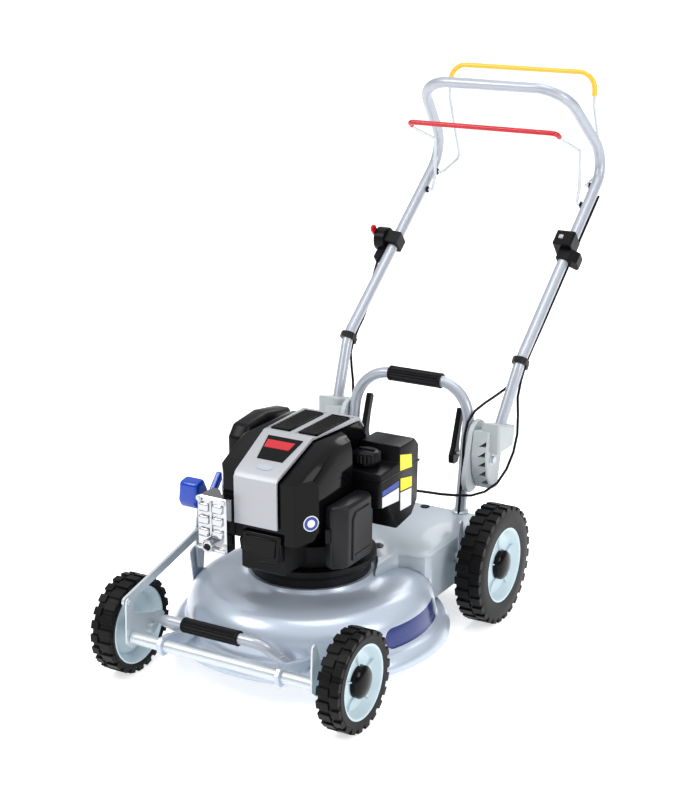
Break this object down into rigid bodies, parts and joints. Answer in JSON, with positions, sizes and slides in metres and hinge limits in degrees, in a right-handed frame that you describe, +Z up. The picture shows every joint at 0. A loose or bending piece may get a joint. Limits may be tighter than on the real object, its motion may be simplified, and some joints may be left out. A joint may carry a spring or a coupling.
{
  "type": "walk-behind rotary mower",
  "caption": "Walk-behind petrol rotary mower: domed steel deck, vertical-shaft engine, folding tube handlebar with drive and brake bails, and one-lever cutting height adjustment.",
  "frame": {"origin": "on the ground, under the middle of the overall length and width", "axes": "+Z up, -Y the mower's front, +X the mower's left"},
  "size_m": [0.602, 1.4025, 1.1007],
  "materials": {
    "deck_paint": "glossy metallic silver-blue paint",
    "housing_paint": "satin pale grey paint",
    "tube_paint": "satin silver-grey paint",
    "zinc_steel": "zinc plated",
    "blade_steel": "bare steel",
    "chrome_steel": "polished",
    "engine_casting": "black coated casting",
    "cover_plastic": "satin silver",
    "hinge_plastic": "moulded, light grey",
    "rim_plastic": "moulded, pale aqua grey",
    "black_plastic": "moulded",
    "dark_plastic": "textured dark grey",
    "gloss_black_plastic": "glossy",
    "red_plastic": "glossy",
    "yellow_plastic": "glossy",
    "blue_plastic": "glossy",
    "tyre_rubber": "moulded rubber",
    "rubber": "matte"
  },
  "bodies": {
    "deck": {"deck_shell": "deck_paint", "rear_housing": "housing_paint", "rear_flap": "rubber", "front_carry_tube": "tube_paint", "front_carry_grip": "rubber", "carry_frame": "tube_paint", "carry_grip": "rubber", "hinge_plate_left": "hinge_plastic", "hinge_plate_right": "hinge_plastic", "clamp_bolt_left": "zinc_steel", "clamp_bolt_right": "zinc_steel", "engine_base_ring": "black_plastic", "crankcase": "engine_casting", "blower_housing": "gloss_black_plastic", "top_cover": "cover_plastic", "muffler_guard": "chrome_steel", "air_filter_box": "dark_plastic", "fuel_tank": "black_plastic", "battery_pack": "dark_plastic", "gearbox": "engine_casting"},
    "handle": {"handlebar": "tube_paint", "hinge_socket_left": "hinge_plastic", "hinge_socket_right": "hinge_plastic", "throttle_housing": "black_plastic", "start_switch": "black_plastic", "cable_clip_left": "black_plastic", "cable_clip_right": "black_plastic", "brake_cable": "rubber", "drive_cable": "rubber", "throttle_cable": "rubber"},
    "clamp_left": {"cam_lever_left": "black_plastic"},
    "clamp_right": {"cam_lever_right": "black_plastic"},
    "drive_bail": {"drive_bail_wire": "zinc_steel", "drive_bail_sleeve": "yellow_plastic"},
    "brake_bail": {"brake_bail_wire": "zinc_steel", "brake_bail_sleeve": "red_plastic"},
    "throttle": {"throttle_lever": "red_plastic"},
    "button": {"start_button": "cover_plastic"},
    "filler_cap": {"fuel_cap": "black_plastic"},
    "rotor": {"crankshaft": "blade_steel", "blade_boss": "blade_steel", "blade": "blade_steel"},
    "front_axle": {"front_axle_tube": "tube_paint", "front_crank_left": "zinc_steel", "front_crank_right": "zinc_steel"},
    "rear_axle": {"rear_cross_shaft": "zinc_steel", "rear_crank_left": "zinc_steel", "rear_crank_right": "zinc_steel"},
    "lever": {"height_lever": "zinc_steel", "height_lever_knob": "blue_plastic"},
    "front_rod": {"front_height_rod": "tube_paint"},
    "rear_rod": {"rear_height_rod": "tube_paint"},
    "front_wheel_left": {"tyre_front_left": "tyre_rubber", "rim_front_left": "rim_plastic"},
    "front_wheel_right": {"tyre_front_right": "tyre_rubber", "rim_front_right": "rim_plastic"},
    "rear_wheel_left": {"tyre_rear_left": "tyre_rubber", "rim_rear_left": "rim_plastic"},
    "rear_wheel_right": {"tyre_rear_right": "tyre_rubber", "rim_rear_right": "rim_plastic"}
  },
  "joints": [
    {"name": "handle_fold", "type": "hinge", "parent": "deck", "child": "handle", "pos_m": [0, 0.094, 0.318], "axis": [1, 0, 0], "range_deg": [0, 110], "deforming": ["brake_cable", "drive_cable", "throttle_cable"]},
    {"name": "clamp_left_cam", "type": "hinge", "parent": "deck", "child": "clamp_left", "pos_m": [0.114, 0.089, 0.306], "axis": [0, -1, 0], "range_deg": [0, 60]},
    {"name": "clamp_right_cam", "type": "hinge", "parent": "deck", "child": "clamp_right", "pos_m": [-0.114, 0.089, 0.306], "axis": [0, 1, 0], "range_deg": [0, 60]},
    {"name": "drive_bail_squeeze", "type": "hinge", "parent": "handle", "child": "drive_bail", "pos_m": [0, 0.61, 0.838], "axis": [1, 0, 0], "range_deg": [0, 24], "stiffness_Nm_per_rad": 2, "springref_deg": -28.65},
    {"name": "brake_bail_squeeze", "type": "hinge", "parent": "handle", "child": "brake_bail", "pos_m": [0, 0.559, 0.802], "axis": [-1, 0, 0], "range_deg": [0, 21], "stiffness_Nm_per_rad": 2, "springref_deg": -28.65},
    {"name": "throttle_turn", "type": "hinge", "parent": "handle", "child": "throttle", "pos_m": [-0.255, 0.4175, 0.7017], "axis": [1, 0, 0], "range_deg": [-35, 35]},
    {"name": "start_press", "type": "slide", "parent": "handle", "child": "button", "axis": [0, 0.6277, -0.7784], "range_m": [0, 0.002], "stiffness_N_per_m": 400, "springref_m": -0.0005},
    {"name": "fuel_cap_turn", "type": "hinge", "parent": "deck", "child": "filler_cap", "pos_m": [0.11, -0.289, 0.42], "axis": [0, 0, 1], "range_deg": [0, 120]},
    {"name": "blade_spin", "type": "hinge", "parent": "deck", "child": "rotor", "pos_m": [0, -0.326, 0.1], "axis": [0, 0, 1], "continuous": true},
    {"name": "height_lever_turn", "type": "hinge", "parent": "deck", "child": "lever", "pos_m": [-0.226, -0.399, 0.163], "axis": [1, 0, 0], "range_deg": [-22, 22]},
    {"name": "front_axle_turn", "type": "hinge", "parent": "deck", "child": "front_axle", "pos_m": [0, -0.658, 0.101], "axis": [1, 0, 0], "range_deg": [-22, 22]},
    {"name": "rear_axle_turn", "type": "hinge", "parent": "deck", "child": "rear_axle", "pos_m": [0, -0.069, 0.149], "axis": [1, 0, 0], "range_deg": [-22, 22]},
    {"name": "front_rod_pin", "type": "hinge", "parent": "lever", "child": "front_rod", "pos_m": [-0.219, -0.406, 0.24], "axis": [1, 0, 0], "range_deg": [-22, 22]},
    {"name": "rear_rod_pin", "type": "hinge", "parent": "lever", "child": "rear_rod", "pos_m": [-0.2115, -0.406, 0.24], "axis": [1, 0, 0], "range_deg": [-22, 22]},
    {"name": "front_left_roll", "type": "hinge", "parent": "front_axle", "child": "front_wheel_left", "pos_m": [0.258, -0.601, 0.1], "axis": [1, 0, 0], "continuous": true},
    {"name": "front_right_roll", "type": "hinge", "parent": "front_axle", "child": "front_wheel_right", "pos_m": [-0.258, -0.601, 0.1], "axis": [1, 0, 0], "continuous": true},
    {"name": "rear_left_roll", "type": "hinge", "parent": "rear_axle", "child": "rear_wheel_left", "pos_m": [0.266, -0.016, 0.128], "axis": [1, 0, 0], "continuous": true},
    {"name": "rear_right_roll", "type": "hinge", "parent": "rear_axle", "child": "rear_wheel_right", "pos_m": [-0.266, -0.016, 0.128], "axis": [1, 0, 0], "continuous": true}
  ],
  "couplings": [
    {"joint": "front_axle_turn", "follows": "height_lever_turn", "ratio": 1},
    {"joint": "rear_axle_turn", "follows": "height_lever_turn", "ratio": 1},
    {"joint": "front_rod_pin", "follows": "height_lever_turn", "ratio": -1},
    {"joint": "rear_rod_pin", "follows": "height_lever_turn", "ratio": -1}
  ]
}
